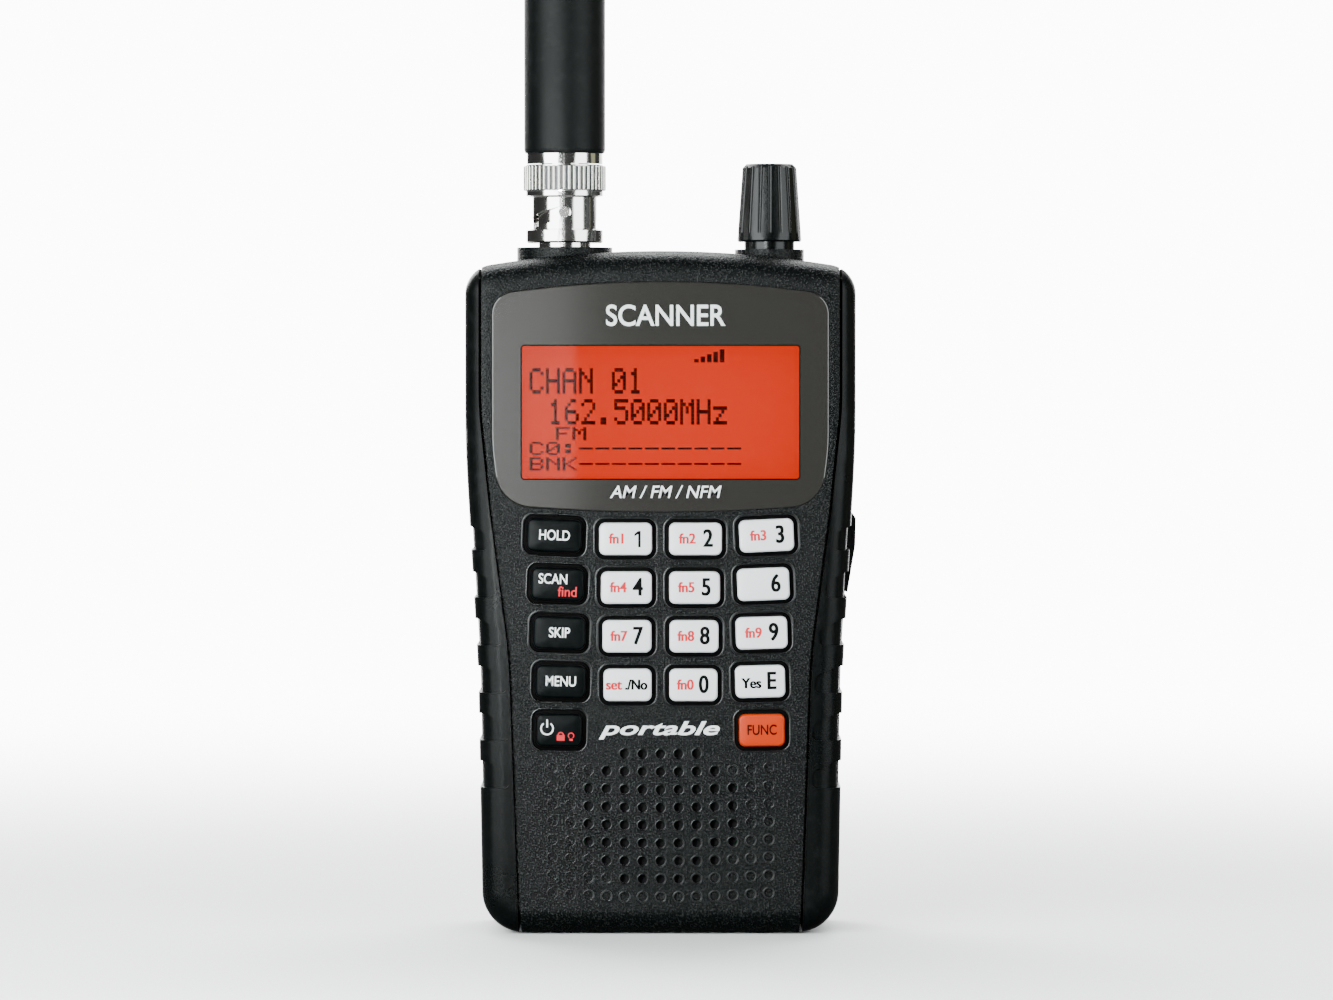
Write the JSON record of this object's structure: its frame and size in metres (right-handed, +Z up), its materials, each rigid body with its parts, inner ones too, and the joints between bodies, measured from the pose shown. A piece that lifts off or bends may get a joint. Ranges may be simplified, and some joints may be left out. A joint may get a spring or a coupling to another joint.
{
  "type": "handheld scanner receiver",
  "caption": "Handheld radio scanner with a back-lit display, a keypad, a speaker grille, a push-and-turn knob, a bayonet antenna, side grips, a battery door and a belt clip.",
  "frame": {"origin": "centre of the flat bottom that the radio stands on", "axes": "+Z up along the antenna, +X to the right as the display faces the user, display facing -Y"},
  "size_m": [0.069, 0.041, 0.286],
  "materials": {
    "case_black": "moulded black plastic with a fine sparkle texture",
    "grip_satin": "smooth satin black side grip",
    "cover_grey": "glossy dark grey printed display cover",
    "steel_plate": "plain bright steel",
    "display_orange": "orange back-lit display",
    "light_guide": "white light guide",
    "keypad_rubber": "dark red translucent silicone",
    "keycap_black": "black key cap with a soft sheen",
    "keycap_white": "white key cap",
    "keycap_orange": "orange key cap",
    "circuit_board": "green circuit board",
    "socket_black": "black socket plastic",
    "soft_rubber": "soft black rubber",
    "speaker_cloth": "thin black dust cloth",
    "speaker_paper": "black paper cone",
    "magnet_grey": "plated magnet",
    "knob_black": "black fluted knob",
    "nickel_bright": "bright nickel plate",
    "insulator_white": "white insulator",
    "brass_plain": "plain brass",
    "antenna_rubber": "matt black moulded rubber",
    "cell_wrap": "plain grey cell wrap",
    "screw_black": "blackened steel"
  },
  "bodies": {
    "handset": {"front_housing": "case_black", "rear_housing": "case_black", "clip_bracket": "case_black", "side_grip_left": "grip_satin", "side_grip_right": "grip_satin", "display_lens": "cover_grey", "lcd_frame": "steel_plate", "lcd_glass": "display_orange", "lcd_backlight": "light_guide", "keypad_mat": "keypad_rubber", "front_board": "circuit_board", "main_board": "circuit_board", "rf_shield": "steel_plate", "phones_jack": "socket_black", "data_port": "steel_plate", "speaker_cloth": "speaker_cloth", "speaker_frame": "steel_plate", "speaker_cone": "speaker_paper", "speaker_magnet": "magnet_grey", "encoder_body": "steel_plate", "antenna_jack": "nickel_bright", "jack_insulator": "insulator_white", "jack_nut": "brass_plain", "battery_cells": "cell_wrap", "battery_contacts": "steel_plate", "clip_pin": "steel_plate", "clip_spring": "steel_plate", "clip_screws": "screw_black", "housing_screws": "screw_black"},
    "key_hold_cap": {"key_hold": "keycap_black"},
    "key_scan_cap": {"key_scan": "keycap_black"},
    "key_skip_cap": {"key_skip": "keycap_black"},
    "key_menu_cap": {"key_menu": "keycap_black"},
    "key_power_cap": {"key_power": "keycap_black"},
    "key_1_cap": {"key_1": "keycap_white"},
    "key_2_cap": {"key_2": "keycap_white"},
    "key_3_cap": {"key_3": "keycap_white"},
    "key_4_cap": {"key_4": "keycap_white"},
    "key_5_cap": {"key_5": "keycap_white"},
    "key_6_cap": {"key_6": "keycap_white"},
    "key_7_cap": {"key_7": "keycap_white"},
    "key_8_cap": {"key_8": "keycap_white"},
    "key_9_cap": {"key_9": "keycap_white"},
    "key_0_cap": {"key_0": "keycap_white"},
    "key_no_cap": {"key_no": "keycap_white"},
    "key_enter_cap": {"key_enter": "keycap_white"},
    "key_func_cap": {"key_func": "keycap_orange"},
    "plug_seat": {"spring_washer": "steel_plate"},
    "coupling": {"coupling_ring": "nickel_bright"},
    "antenna": {"antenna_plug": "nickel_bright", "antenna_contact": "brass_plain", "antenna_sheath": "antenna_rubber", "antenna_coil": "brass_plain"},
    "knob_slider": {"push_slider": "socket_black"},
    "knob": {"control_knob": "knob_black", "encoder_shaft": "steel_plate"},
    "port_flap": {"port_cover": "soft_rubber"},
    "door": {"battery_door": "case_black"},
    "clip": {"clip_lever": "case_black"}
  },
  "joints": [
    {"name": "press_hold", "type": "slide", "parent": "handset", "child": "key_hold_cap", "axis": [0, 1, 0], "range_m": [0, 0.0006], "stiffness_N_per_m": 900, "springref_m": -0.0004},
    {"name": "press_scan", "type": "slide", "parent": "handset", "child": "key_scan_cap", "axis": [0, 1, 0], "range_m": [0, 0.0006], "stiffness_N_per_m": 900, "springref_m": -0.0004},
    {"name": "press_skip", "type": "slide", "parent": "handset", "child": "key_skip_cap", "axis": [0, 1, 0], "range_m": [0, 0.0006], "stiffness_N_per_m": 900, "springref_m": -0.0004},
    {"name": "press_menu", "type": "slide", "parent": "handset", "child": "key_menu_cap", "axis": [0, 1, 0], "range_m": [0, 0.0006], "stiffness_N_per_m": 900, "springref_m": -0.0004},
    {"name": "press_power", "type": "slide", "parent": "handset", "child": "key_power_cap", "axis": [0, 1, 0], "range_m": [0, 0.0006], "stiffness_N_per_m": 900, "springref_m": -0.0004},
    {"name": "press_1", "type": "slide", "parent": "handset", "child": "key_1_cap", "axis": [0, 1, 0], "range_m": [0, 0.0006], "stiffness_N_per_m": 900, "springref_m": -0.0004},
    {"name": "press_2", "type": "slide", "parent": "handset", "child": "key_2_cap", "axis": [0, 1, 0], "range_m": [0, 0.0006], "stiffness_N_per_m": 900, "springref_m": -0.0004},
    {"name": "press_3", "type": "slide", "parent": "handset", "child": "key_3_cap", "axis": [0, 1, 0], "range_m": [0, 0.0006], "stiffness_N_per_m": 900, "springref_m": -0.0004},
    {"name": "press_4", "type": "slide", "parent": "handset", "child": "key_4_cap", "axis": [0, 1, 0], "range_m": [0, 0.0006], "stiffness_N_per_m": 900, "springref_m": -0.0004},
    {"name": "press_5", "type": "slide", "parent": "handset", "child": "key_5_cap", "axis": [0, 1, 0], "range_m": [0, 0.0006], "stiffness_N_per_m": 900, "springref_m": -0.0004},
    {"name": "press_6", "type": "slide", "parent": "handset", "child": "key_6_cap", "axis": [0, 1, 0], "range_m": [0, 0.0006], "stiffness_N_per_m": 900, "springref_m": -0.0004},
    {"name": "press_7", "type": "slide", "parent": "handset", "child": "key_7_cap", "axis": [0, 1, 0], "range_m": [0, 0.0006], "stiffness_N_per_m": 900, "springref_m": -0.0004},
    {"name": "press_8", "type": "slide", "parent": "handset", "child": "key_8_cap", "axis": [0, 1, 0], "range_m": [0, 0.0006], "stiffness_N_per_m": 900, "springref_m": -0.0004},
    {"name": "press_9", "type": "slide", "parent": "handset", "child": "key_9_cap", "axis": [0, 1, 0], "range_m": [0, 0.0006], "stiffness_N_per_m": 900, "springref_m": -0.0004},
    {"name": "press_0", "type": "slide", "parent": "handset", "child": "key_0_cap", "axis": [0, 1, 0], "range_m": [0, 0.0006], "stiffness_N_per_m": 900, "springref_m": -0.0004},
    {"name": "press_no", "type": "slide", "parent": "handset", "child": "key_no_cap", "axis": [0, 1, 0], "range_m": [0, 0.0006], "stiffness_N_per_m": 900, "springref_m": -0.0004},
    {"name": "press_enter", "type": "slide", "parent": "handset", "child": "key_enter_cap", "axis": [0, 1, 0], "range_m": [0, 0.0006], "stiffness_N_per_m": 900, "springref_m": -0.0004},
    {"name": "press_func", "type": "slide", "parent": "handset", "child": "key_func_cap", "axis": [0, 1, 0], "range_m": [0, 0.0006], "stiffness_N_per_m": 900, "springref_m": -0.0004},
    {"name": "antenna_rise", "type": "slide", "parent": "handset", "child": "plug_seat", "axis": [0, 0, 1], "range_m": [0, 0.0022]},
    {"name": "ring_turn", "type": "hinge", "parent": "plug_seat", "child": "coupling", "pos_m": [-0.0169, -0.0039, 0.128], "axis": [0, 0, 1], "range_deg": [0, 90]},
    {"name": "antenna_swivel", "type": "hinge", "parent": "plug_seat", "child": "antenna", "pos_m": [-0.0169, -0.0039, 0.15], "axis": [0, 0, 1], "continuous": true},
    {"name": "knob_press", "type": "slide", "parent": "handset", "child": "knob_slider", "axis": [0, 0, -1], "range_m": [0, 0.0006], "stiffness_N_per_m": 3000, "springref_m": -0.0003},
    {"name": "knob_turn", "type": "hinge", "parent": "knob_slider", "child": "knob", "pos_m": [0.0192, -0.0039, 0.125], "axis": [0, 0, 1], "continuous": true},
    {"name": "port_flap_open", "type": "hinge", "parent": "handset", "child": "port_flap", "pos_m": [0.0333, 0.008, 0.0596], "axis": [0, 1, 0], "range_deg": [0, 100]},
    {"name": "door_slide", "type": "slide", "parent": "handset", "child": "door", "axis": [0, 0, -1], "range_m": [0, 0.008]},
    {"name": "clip_squeeze", "type": "hinge", "parent": "handset", "child": "clip", "pos_m": [0, 0.0196, 0.102], "axis": [1, 0, 0], "range_deg": [0, 14], "stiffness_Nm_per_rad": 0.25, "springref_deg": -11.46}
  ],
  "couplings": [
    {"joint": "ring_turn", "follows": "antenna_rise", "rad_per_m": 713.9}
  ]
}
